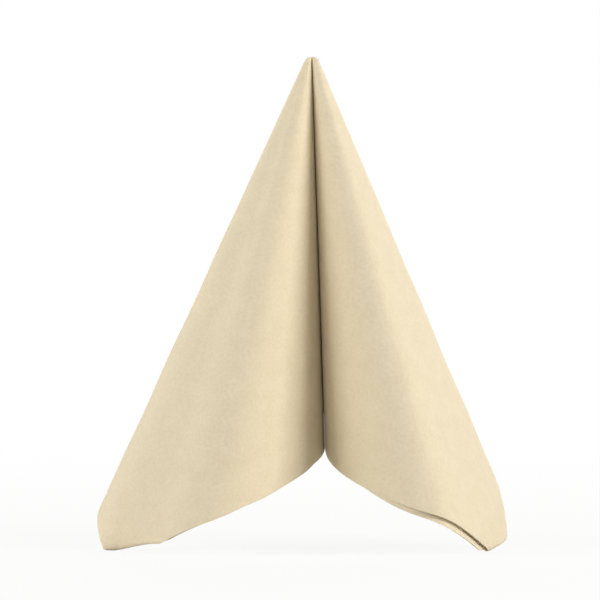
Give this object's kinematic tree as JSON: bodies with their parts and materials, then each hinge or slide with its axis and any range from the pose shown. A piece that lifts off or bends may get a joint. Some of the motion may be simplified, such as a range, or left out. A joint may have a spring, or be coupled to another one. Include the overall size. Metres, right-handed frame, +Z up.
{
  "type": "paper napkin",
  "caption": "Square paper napkin folded once and rolled into a pointed double cone that stands on its turned-up corners as table decoration.",
  "frame": {"origin": "middle of the napkin's box on the table, at the underside of its feet", "axes": "+Z up, +X to the viewer's right, +Y away from the viewer; the napkin's point is above the origin, a little to the right and towards the viewer"},
  "size_m": [0.2144, 0.1116, 0.2521],
  "materials": {
    "napkin_paper": "soft matt airlaid paper, cream"
  },
  "bodies": {
    "root": {"napkin": "napkin_paper"}
  },
  "joints": []
}
